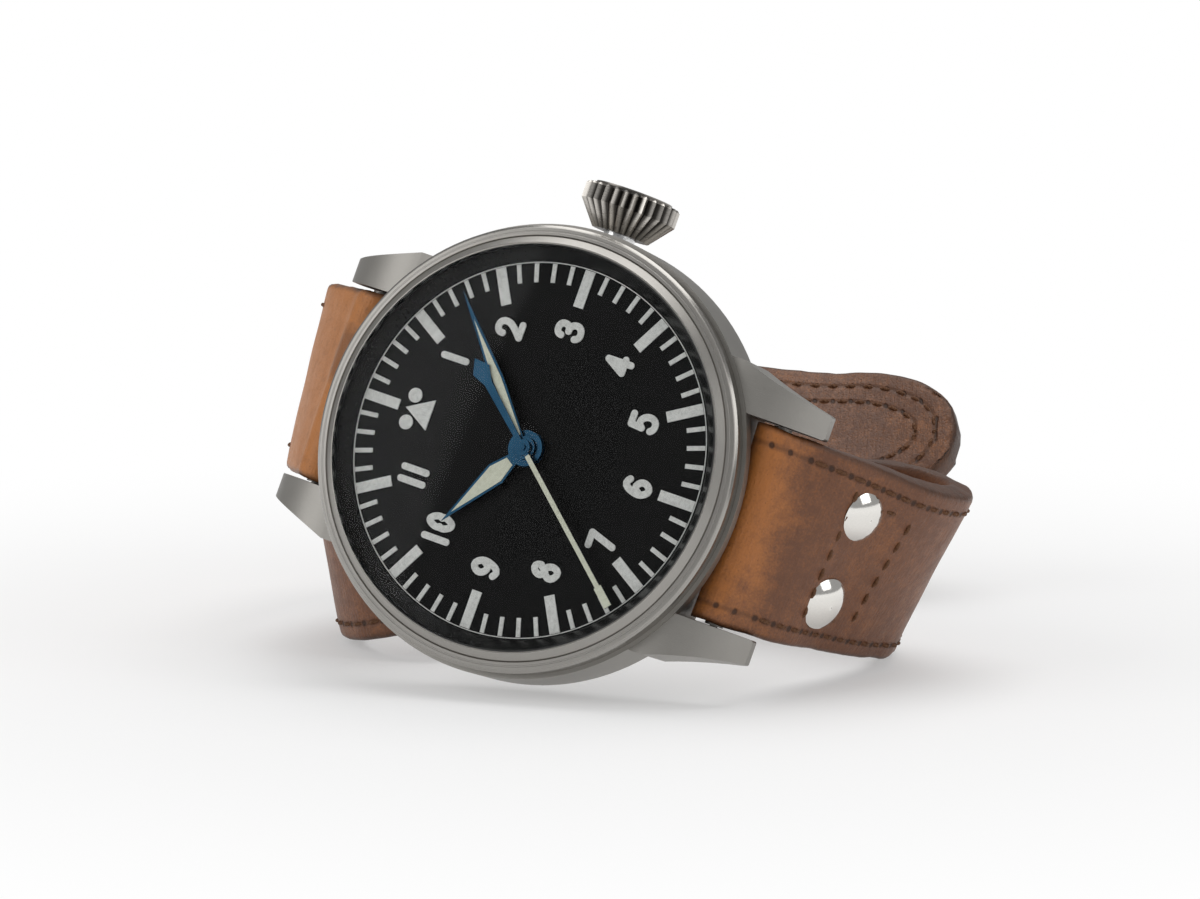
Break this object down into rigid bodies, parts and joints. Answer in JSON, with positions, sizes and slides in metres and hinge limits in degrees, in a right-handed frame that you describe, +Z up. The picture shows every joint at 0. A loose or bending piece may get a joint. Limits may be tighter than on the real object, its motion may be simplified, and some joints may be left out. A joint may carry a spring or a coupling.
{
  "type": "pilot watch",
  "caption": "Pilot watch with a round steel case, black dial, onion crown and a riveted leather strap, standing on the edge of its case.",
  "frame": {"origin": "centre of the bounding box on the surface that the watch stands on", "axes": "+Z up; -Y towards the viewer of the dial, which is turned to -X and leans back"},
  "size_m": [0.071, 0.0768, 0.0487],
  "materials": {
    "case_steel": "bead-blasted and brushed",
    "bright_steel": "polished",
    "glass": "clear polished",
    "rubber": "matt",
    "black_lacquer": "matt black lacquer",
    "white_print": "matt raised print",
    "pale_paint": "matt",
    "blued_steel": "blued",
    "brass": "nickel plated and grained",
    "gold_brass": "polished",
    "ruby": "polished",
    "spring_steel": "polished",
    "leather": "worn, waxed",
    "nickel": "polished nickel plate"
  },
  "bodies": {
    "case": {"mid_case": "case_steel", "bezel": "case_steel", "crystal": "glass", "crystal_gasket": "rubber", "rehaut_ring": "black_lacquer", "dial": "black_lacquer", "dial_markers": "white_print", "dial_numerals": "white_print", "case_back": "case_steel", "case_back_gasket": "rubber", "crown_tube": "bright_steel", "movement_ring": "brass", "casing_screws": "bright_steel", "mainplate": "brass", "barrel_bridge": "brass", "train_bridge": "brass", "balance_cock": "brass", "bridge_screws": "bright_steel", "jewels": "ruby", "balance_spring": "spring_steel", "spring_bar_12": "bright_steel", "spring_bar_6": "bright_steel"},
    "winding_pinion": {"winding_pinion": "bright_steel"},
    "crown": {"crown": "case_steel", "crown_gasket": "rubber", "winding_stem": "bright_steel"},
    "sliding_pinion": {"sliding_pinion": "bright_steel"},
    "crown_wheel": {"crown_wheel": "bright_steel"},
    "ratchet": {"ratchet_wheel": "bright_steel", "barrel_arbor": "bright_steel"},
    "click": {"click": "bright_steel"},
    "barrel": {"barrel": "gold_brass", "mainspring": "spring_steel"},
    "minute": {"centre_wheel": "gold_brass", "cannon_pinion": "bright_steel", "minute_hand": "blued_steel", "minute_hand_paint": "pale_paint"},
    "minute_wheel": {"minute_wheel": "gold_brass"},
    "hour": {"hour_wheel": "gold_brass", "hour_hand": "blued_steel", "hour_hand_paint": "pale_paint"},
    "seconds": {"seconds_wheel": "gold_brass", "seconds_hand": "blued_steel", "seconds_hand_paint": "pale_paint"},
    "third_wheel": {"third_wheel": "gold_brass"},
    "escape_wheel": {"escape_wheel": "bright_steel"},
    "pallet_fork": {"pallet_fork": "bright_steel"},
    "balance": {"balance_wheel": "gold_brass"},
    "strap_12": {"strap_tail": "leather"},
    "strap_6": {"strap_buckle_side": "leather", "rivets": "nickel", "fixed_keeper": "leather"},
    "free_keeper": {"free_keeper": "leather"},
    "buckle": {"buckle_frame": "case_steel", "buckle_bar": "case_steel"},
    "tongue": {"buckle_tongue": "case_steel"}
  },
  "joints": [
    {"name": "crown_turn", "type": "hinge", "parent": "case", "child": "winding_pinion", "pos_m": [-0.00511, -0.02258, 0.03327], "axis": [0.3345, 0.1506, 0.9303], "continuous": true},
    {"name": "crown_pull", "type": "slide", "parent": "winding_pinion", "child": "crown", "axis": [0.3345, 0.1506, 0.9303], "range_m": [0, 0.0009]},
    {"name": "sliding_pinion_shift", "type": "slide", "parent": "winding_pinion", "child": "sliding_pinion", "axis": [0.3345, 0.1506, 0.9303], "range_m": [-0.0006, 0]},
    {"name": "crown_wheel_turn", "type": "hinge", "parent": "case", "child": "crown_wheel", "pos_m": [-0.00513, -0.0208, 0.03008], "axis": [-0.3603, -0.8917, 0.274], "continuous": true},
    {"name": "ratchet_turn", "type": "hinge", "parent": "case", "child": "ratchet", "pos_m": [-0.01346, -0.01846, 0.02675], "axis": [-0.3603, -0.8917, 0.274], "continuous": true},
    {"name": "click_swing", "type": "hinge", "parent": "case", "child": "click", "pos_m": [-0.01829, -0.01791, 0.02219], "axis": [-0.3603, -0.8917, 0.274], "range_deg": [-6, 0]},
    {"name": "seconds_turn", "type": "hinge", "parent": "case", "child": "seconds", "pos_m": [-0.01032, -0.02755, 0.02337], "axis": [-0.3603, -0.8917, 0.274], "continuous": true},
    {"name": "minute_turn", "type": "hinge", "parent": "case", "child": "minute", "pos_m": [-0.01032, -0.02755, 0.02337], "axis": [-0.3603, -0.8917, 0.274], "continuous": true},
    {"name": "hour_turn", "type": "hinge", "parent": "case", "child": "hour", "pos_m": [-0.01032, -0.02755, 0.02337], "axis": [-0.3603, -0.8917, 0.274], "continuous": true},
    {"name": "minute_wheel_turn", "type": "hinge", "parent": "case", "child": "minute_wheel", "pos_m": [-0.01344, -0.0272, 0.02043], "axis": [-0.3603, -0.8917, 0.274], "continuous": true},
    {"name": "barrel_turn", "type": "hinge", "parent": "case", "child": "barrel", "pos_m": [-0.01564, -0.02386, 0.0284], "axis": [-0.3603, -0.8917, 0.274], "continuous": true},
    {"name": "third_wheel_turn", "type": "hinge", "parent": "case", "child": "third_wheel", "pos_m": [-0.01042, -0.02878, 0.01925], "axis": [-0.3603, -0.8917, 0.274], "continuous": true},
    {"name": "escape_wheel_turn", "type": "hinge", "parent": "case", "child": "escape_wheel", "pos_m": [-0.00665, -0.02924, 0.0227], "axis": [-0.3603, -0.8917, 0.274], "continuous": true},
    {"name": "pallet_swing", "type": "hinge", "parent": "case", "child": "pallet_fork", "pos_m": [-0.00425, -0.03001, 0.02336], "axis": [-0.3603, -0.8917, 0.274], "range_deg": [-5, 5]},
    {"name": "balance_swing", "type": "hinge", "parent": "case", "child": "balance", "pos_m": [-0.00121, -0.03098, 0.02418], "axis": [-0.3603, -0.8917, 0.274], "range_deg": [-135, 135]},
    {"name": "strap_12_swing", "type": "hinge", "parent": "case", "child": "strap_12", "pos_m": [-0.02807, -0.01415, 0.02758], "axis": [0.3345, 0.1506, 0.9303], "range_deg": [0, 20]},
    {"name": "strap_6_swing", "type": "hinge", "parent": "case", "child": "strap_6", "pos_m": [0.01059, -0.0331, 0.01674], "axis": [0.3345, 0.1506, 0.9303], "range_deg": [-1, 0.5]},
    {"name": "free_keeper_slide", "type": "slide", "parent": "strap_6", "child": "free_keeper", "axis": [-0.9653, 0.26, 0.0241], "range_m": [-0.0015, 0.001]},
    {"name": "buckle_swing", "type": "hinge", "parent": "strap_6", "child": "buckle", "pos_m": [-0.01671, -0.006, 0.01077], "axis": [0.2693, -0.2945, -0.9169], "range_deg": [-8, 8]},
    {"name": "tongue_swing", "type": "hinge", "parent": "buckle", "child": "tongue", "pos_m": [-0.01671, -0.006, 0.01077], "axis": [0.2693, -0.2945, -0.9169], "range_deg": [0, 25]}
  ],
  "couplings": [
    {"joint": "sliding_pinion_shift", "follows": "crown_pull", "ratio": -0.6},
    {"joint": "crown_wheel_turn", "follows": "crown_turn", "ratio": -0.58824},
    {"joint": "ratchet_turn", "follows": "crown_turn", "ratio": 0.34685},
    {"joint": "minute_turn", "follows": "seconds_turn", "ratio": 0.016667},
    {"joint": "hour_turn", "follows": "seconds_turn", "ratio": 0.0013889},
    {"joint": "minute_wheel_turn", "follows": "seconds_turn", "ratio": -0.0055556},
    {"joint": "third_wheel_turn", "follows": "seconds_turn", "ratio": -0.12299},
    {"joint": "barrel_turn", "follows": "seconds_turn", "ratio": -0.0054645},
    {"joint": "escape_wheel_turn", "follows": "seconds_turn", "ratio": -7}
  ]
}
